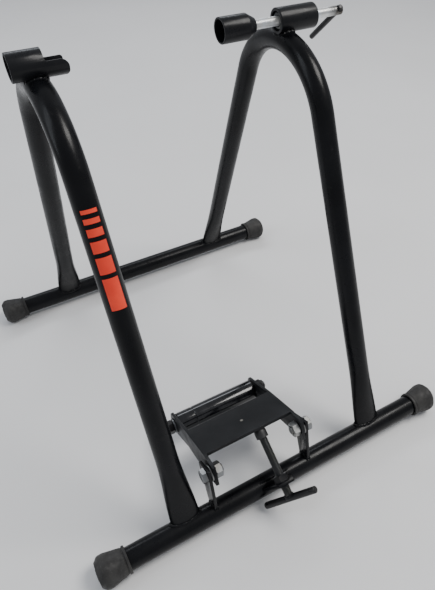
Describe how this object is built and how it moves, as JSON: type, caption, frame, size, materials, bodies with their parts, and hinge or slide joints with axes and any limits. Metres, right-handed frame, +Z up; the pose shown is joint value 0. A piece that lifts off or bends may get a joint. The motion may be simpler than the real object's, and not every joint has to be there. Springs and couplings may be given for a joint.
{
  "type": "bike repair stand",
  "caption": "Rear-axle bicycle stand: tube hoops on floor tubes with rubber feet, a screw clamp for the axle, and a tyre roller in a screw-lifted cradle.",
  "frame": {"origin": "On the floor under the middle of the whole stand, the lifting screw's T-bar included.", "axes": "+Z up; +X across the stand toward the screw clamp, along the wheel's axle; +Y along the bicycle, away from the roller."},
  "size_m": [0.3838, 0.4388, 0.389],
  "materials": {
    "frame_paint": "semi-gloss black powder coat",
    "clamp_paint": "semi-gloss black powder coat",
    "cradle_paint": "satin black paint on sheet steel",
    "roller_gloss": "gloss black, polished by the tyre",
    "black_steel": "black oxide steel",
    "zinc_steel": "bright zinc plate",
    "foot_rubber": "matt dark grey rubber",
    "nylon": "moulded black nylon"
  },
  "bodies": {
    "frame": {"rear_base_tube": "frame_paint", "front_base_tube": "frame_paint", "foot_cap_rear_left": "foot_rubber", "foot_cap_rear_right": "foot_rubber", "foot_cap_front_left": "foot_rubber", "foot_cap_front_right": "foot_rubber", "left_hoop": "frame_paint", "right_hoop": "frame_paint", "left_axle_cup": "clamp_paint", "left_cup_stop": "black_steel", "right_sleeve": "clamp_paint", "sleeve_nut": "zinc_steel", "sleeve_bush": "nylon", "pivot_ear_left": "frame_paint", "pivot_ear_right": "frame_paint", "screw_bracket": "frame_paint", "screw_nut": "black_steel", "pivot_bolt_left": "zinc_steel", "pivot_bolt_right": "zinc_steel", "pivot_nut_left": "zinc_steel", "pivot_nut_right": "zinc_steel", "pivot_spacer_left": "zinc_steel", "pivot_spacer_right": "zinc_steel"},
    "clamp_carrier": {"clamp_cup": "clamp_paint"},
    "clamp_screw": {"clamp_rod": "zinc_steel", "clamp_handle": "black_steel", "cup_clip": "zinc_steel"},
    "lift_carrier": {"lift_pad": "nylon"},
    "lift_spindle": {"lift_screw": "black_steel", "lift_t_bar": "black_steel"},
    "cradle": {"cradle_bracket": "cradle_paint", "roller_axle": "zinc_steel", "axle_nut_left": "black_steel", "axle_nut_right": "black_steel", "axle_washer_left": "zinc_steel", "axle_washer_right": "zinc_steel"},
    "roller": {"roller_tube": "roller_gloss", "roller_bushing_left": "nylon", "roller_bushing_right": "nylon"}
  },
  "joints": [
    {"name": "clamp_slide", "type": "slide", "parent": "frame", "child": "clamp_carrier", "axis": [1, 0, 0], "range_m": [-0.023, 0.02]},
    {"name": "clamp_turn", "type": "hinge", "parent": "clamp_carrier", "child": "clamp_screw", "pos_m": [0.1608, 0.01648, 0.3786], "axis": [1, 0, 0], "range_deg": [-6623.3, 5759.4]},
    {"name": "lift_slide", "type": "slide", "parent": "frame", "child": "lift_carrier", "axis": [0, 0.8443, 0.5358], "range_m": [-0.003, 0.004]},
    {"name": "lift_turn", "type": "hinge", "parent": "lift_carrier", "child": "lift_spindle", "pos_m": [-0.0135, -0.20254, 0.03008], "axis": [0, 0.8443, 0.5358], "range_deg": [-863.9, 1151.9]},
    {"name": "cradle_tilt", "type": "hinge", "parent": "frame", "child": "cradle", "pos_m": [0, -0.16152, 0.0673], "axis": [1, 0, 0], "range_deg": [-7.96, 10.59]},
    {"name": "roller_spin", "type": "hinge", "parent": "cradle", "child": "roller", "pos_m": [0, -0.07352, 0.0288], "axis": [1, 0, 0], "continuous": true}
  ],
  "couplings": [
    {"joint": "clamp_slide", "follows": "clamp_turn", "m_per_rad": 0.00019894},
    {"joint": "lift_slide", "follows": "lift_turn", "m_per_rad": 0.00019894},
    {"joint": "cradle_tilt", "follows": "lift_turn", "ratio": 0.0091514}
  ]
}
